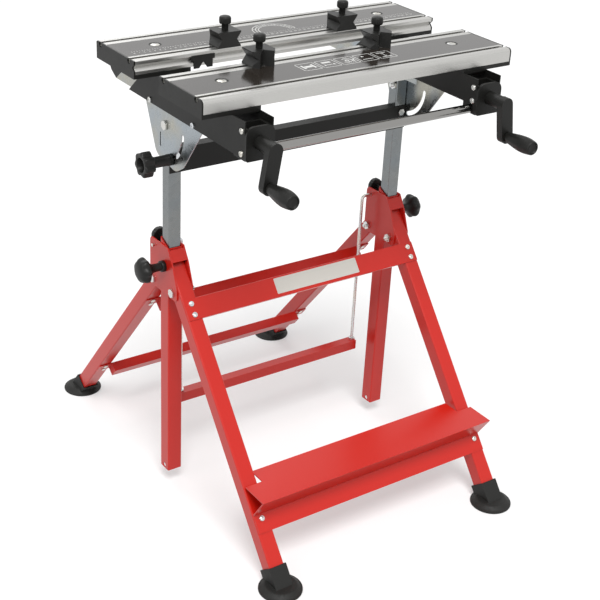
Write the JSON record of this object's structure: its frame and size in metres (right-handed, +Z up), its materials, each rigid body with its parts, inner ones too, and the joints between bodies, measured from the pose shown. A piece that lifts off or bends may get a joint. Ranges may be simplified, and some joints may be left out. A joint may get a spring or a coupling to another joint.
{
  "type": "folding clamping workbench",
  "caption": "Folding workbench: two clamping jaws on crank-driven beams tilt on a mast that slides in a red folding trestle with a step.",
  "frame": {"origin": "on the floor, at the centre of the object's footprint", "axes": "+X to the user's right along the jaws, +Y away from the user towards the rear legs, +Z up"},
  "size_m": [0.6478, 0.8698, 0.9163],
  "materials": {
    "red_paint": "smooth red powder coat",
    "black_paint": "satin black powder coat",
    "galvanised_steel": "zinc-coated steel, satin",
    "aluminium": "plain extruded aluminium",
    "jaw_inlay": "matte taupe laminate",
    "black_plastic": "moulded plastic, fine grain",
    "foot_rubber": "hard rubber",
    "zinc_plate": "bright zinc plate",
    "spindle_steel": "oiled plain steel"
  },
  "bodies": {
    "base": {"tube_left": "red_paint", "tube_right": "red_paint", "bracket_left": "red_paint", "bracket_right": "red_paint", "front_leg_left": "red_paint", "front_leg_right": "red_paint", "front_panel": "red_paint", "step": "red_paint", "base_bolts": "zinc_plate", "front_feet": "foot_rubber"},
    "mast": {"columns": "galvanised_steel", "cross_channel": "black_paint", "mast_bolts": "zinc_plate"},
    "table": {"beam_left": "black_paint", "beam_right": "black_paint", "housings": "black_plastic", "housing_screws": "zinc_plate", "front_rail": "galvanised_steel", "front_jaw": "aluminium", "front_inlay": "jaw_inlay", "front_caps": "black_plastic", "front_jaw_screws": "zinc_plate", "tilt_plate_left": "galvanised_steel", "tilt_plate_right": "galvanised_steel", "plate_rivets": "zinc_plate"},
    "carriage": {"slides": "galvanised_steel", "slide_plugs": "black_plastic", "rear_jaw": "aluminium", "rear_inlay": "jaw_inlay", "rear_caps": "black_plastic", "rear_jaw_screws": "zinc_plate", "spindle_nuts": "spindle_steel", "groove_clip": "black_plastic"},
    "crank_left": {"spindle_left": "spindle_steel", "crank_left": "black_plastic"},
    "crank_right": {"spindle_right": "spindle_steel", "crank_right": "black_plastic"},
    "grip_left": {"grip_left": "black_plastic"},
    "grip_right": {"grip_right": "black_plastic"},
    "tilt_knob": {"tilt_knob": "black_plastic"},
    "height_knob_left": {"height_knob_left": "black_plastic"},
    "height_knob_right": {"height_knob_right": "black_plastic"},
    "rear_knob_left": {"rear_knob_left": "black_plastic"},
    "rear_knob_right": {"rear_knob_right": "black_plastic"},
    "rear_legs": {"rear_leg_left": "red_paint", "rear_leg_right": "red_paint", "upper_bar": "red_paint", "lower_bar": "red_paint", "rear_screws": "zinc_plate", "rear_feet": "foot_rubber"},
    "bail": {"bail_rods": "zinc_plate", "bail_bar": "red_paint"},
    "dog_front_left": {"dog_front_left": "black_plastic"},
    "dog_screw_front_left": {"dog_screw_front_left": "zinc_plate"},
    "dog_front_right": {"dog_front_right": "black_plastic"},
    "dog_screw_front_right": {"dog_screw_front_right": "zinc_plate"},
    "dog_rear_left": {"dog_rear_left": "black_plastic"},
    "dog_screw_rear_left": {"dog_screw_rear_left": "zinc_plate"},
    "dog_rear_right": {"dog_rear_right": "black_plastic"},
    "dog_screw_rear_right": {"dog_screw_rear_right": "zinc_plate"}
  },
  "joints": [
    {"name": "mast_height", "type": "slide", "parent": "base", "child": "mast", "axis": [0, 0, 1], "range_m": [-0.13, 0.08]},
    {"name": "table_tilt", "type": "hinge", "parent": "mast", "child": "table", "pos_m": [0, -0.004, 0.745], "axis": [1, 0, 0], "range_deg": [0, 65]},
    {"name": "left_spindle", "type": "hinge", "parent": "table", "child": "crank_left", "pos_m": [-0.241, -0.27, 0.797], "axis": [0, 1, 0], "range_deg": [-7205, 5909]},
    {"name": "right_spindle", "type": "hinge", "parent": "table", "child": "crank_right", "pos_m": [0.241, -0.27, 0.797], "axis": [0, 1, 0], "range_deg": [-7205, 5909]},
    {"name": "jaw_slide", "type": "slide", "parent": "table", "child": "carriage", "axis": [0, 1, 0], "range_m": [-0.082, 0.1]},
    {"name": "left_grip", "type": "hinge", "parent": "crank_left", "child": "grip_left", "pos_m": [-0.25039, -0.31, 0.73774], "axis": [0, 1, 0], "continuous": true},
    {"name": "right_grip", "type": "hinge", "parent": "crank_right", "child": "grip_right", "pos_m": [0.25039, -0.31, 0.73774], "axis": [0, 1, 0], "continuous": true},
    {"name": "tilt_clamp", "type": "hinge", "parent": "mast", "child": "tilt_knob", "pos_m": [-0.3, -0.02401, 0.68897], "axis": [1, 0, 0], "range_deg": [0, 720]},
    {"name": "left_height_clamp", "type": "hinge", "parent": "base", "child": "height_knob_left", "pos_m": [-0.3, -0.004, 0.476], "axis": [1, 0, 0], "range_deg": [0, 720]},
    {"name": "left_rear_clamp", "type": "hinge", "parent": "base", "child": "rear_knob_left", "pos_m": [-0.25, 0.04, 0.515], "axis": [0, 1, 0], "range_deg": [0, 720]},
    {"name": "right_height_clamp", "type": "hinge", "parent": "base", "child": "height_knob_right", "pos_m": [0.3, -0.004, 0.476], "axis": [1, 0, 0], "range_deg": [0, 720]},
    {"name": "right_rear_clamp", "type": "hinge", "parent": "base", "child": "rear_knob_right", "pos_m": [0.25, 0.04, 0.515], "axis": [0, 1, 0], "range_deg": [0, 720]},
    {"name": "dog_slide_front_left", "type": "slide", "parent": "table", "child": "dog_front_left", "axis": [1, 0, 0], "range_m": [-0.15, 0.07]},
    {"name": "dog_clamp_front_left", "type": "hinge", "parent": "dog_front_left", "child": "dog_screw_front_left", "pos_m": [-0.14, -0.099, 0.9], "axis": [0, 0, 1], "range_deg": [0, 720]},
    {"name": "dog_slide_front_right", "type": "slide", "parent": "table", "child": "dog_front_right", "axis": [1, 0, 0], "range_m": [-0.11, 0.18]},
    {"name": "dog_clamp_front_right", "type": "hinge", "parent": "dog_front_right", "child": "dog_screw_front_right", "pos_m": [0.107, -0.099, 0.9], "axis": [0, 0, 1], "range_deg": [0, 720]},
    {"name": "dog_slide_rear_left", "type": "slide", "parent": "carriage", "child": "dog_rear_left", "axis": [1, 0, 0], "range_m": [-0.155, 0.07]},
    {"name": "dog_clamp_rear_left", "type": "hinge", "parent": "dog_rear_left", "child": "dog_screw_rear_left", "pos_m": [-0.135, 0.018, 0.9], "axis": [0, 0, 1], "range_deg": [0, 720]},
    {"name": "dog_slide_rear_right", "type": "slide", "parent": "carriage", "child": "dog_rear_right", "axis": [1, 0, 0], "range_m": [-0.12, 0.17]},
    {"name": "dog_clamp_rear_right", "type": "hinge", "parent": "dog_rear_right", "child": "dog_screw_rear_right", "pos_m": [0.117, 0.018, 0.9], "axis": [0, 0, 1], "range_deg": [0, 720]},
    {"name": "rear_leg_fold", "type": "hinge", "parent": "base", "child": "rear_legs", "pos_m": [0, 0.038, 0.433], "axis": [1, 0, 0], "range_deg": [-31, 0]},
    {"name": "bail_swing", "type": "hinge", "parent": "base", "child": "bail", "pos_m": [0, 0.034, 0.503], "axis": [1, 0, 0], "range_deg": [-15.5, 0]}
  ],
  "couplings": [
    {"joint": "left_spindle", "follows": "jaw_slide", "rad_per_m": -1256.6},
    {"joint": "right_spindle", "follows": "jaw_slide", "rad_per_m": -1256.6},
    {"joint": "bail_swing", "follows": "rear_leg_fold", "ratio": 0.5}
  ]
}
